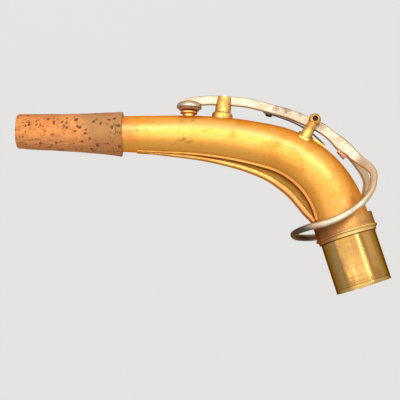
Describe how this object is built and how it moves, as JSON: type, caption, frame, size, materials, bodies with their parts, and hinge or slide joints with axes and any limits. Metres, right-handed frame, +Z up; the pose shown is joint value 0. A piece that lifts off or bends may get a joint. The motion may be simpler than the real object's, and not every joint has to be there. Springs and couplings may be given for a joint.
{
  "type": "saxophone neck",
  "caption": "Curved tapering brass neck of an alto saxophone: cork sleeve, tenon with collar, under brace, and a hinged octave key with pad and ring.",
  "frame": {"origin": "top end of the tenon's bearing wall, on the tenon's axis, 0.3 mm under the collar's lower face, where the neck seats on the body's socket", "axes": "+Z up the tenon's axis into the neck, -X towards the cork end, Y across the neck, with the neck's bend in the plane Y = 0"},
  "size_m": [0.1472, 0.0368, 0.1177],
  "materials": {
    "lacquered_brass": "satin",
    "tenon_brass": "polished",
    "collar_brass": "satin",
    "cork": "matte",
    "nickel_silver": "polished",
    "steel": "satin",
    "spring_steel": "satin",
    "leather": "matte",
    "felt": "matte",
    "pad_board": "matte",
    "pad_glue": "matte"
  },
  "bodies": {
    "neck": {"neck_tube": "lacquered_brass", "neck_cork": "cork", "tenon_tube": "tenon_brass", "tenon_collar": "collar_brass", "under_brace": "lacquered_brass", "octave_pip": "lacquered_brass", "guide_post": "lacquered_brass", "key_saddle": "lacquered_brass", "near_post": "lacquered_brass", "far_post": "lacquered_brass", "hinge_rod": "steel"},
    "octave_key": {"hinge_tube": "nickel_silver", "front_arm": "nickel_silver", "pad_cup": "nickel_silver", "pad_cement": "pad_glue", "pad_card": "pad_board", "pad_felt": "felt", "pad_skin": "leather", "rear_arm": "nickel_silver", "key_ring": "nickel_silver", "rear_bumper": "cork", "flat_spring": "spring_steel", "spring_screw": "steel"}
  },
  "joints": [
    {"name": "octave_key_hinge", "type": "hinge", "parent": "neck", "child": "octave_key", "pos_m": [0.00155, 0, 0.05384], "axis": [0, 1, 0], "range_deg": [0, 4], "stiffness_Nm_per_rad": 0.06, "springref_deg": -28.65, "deforming": ["flat_spring"]}
  ]
}
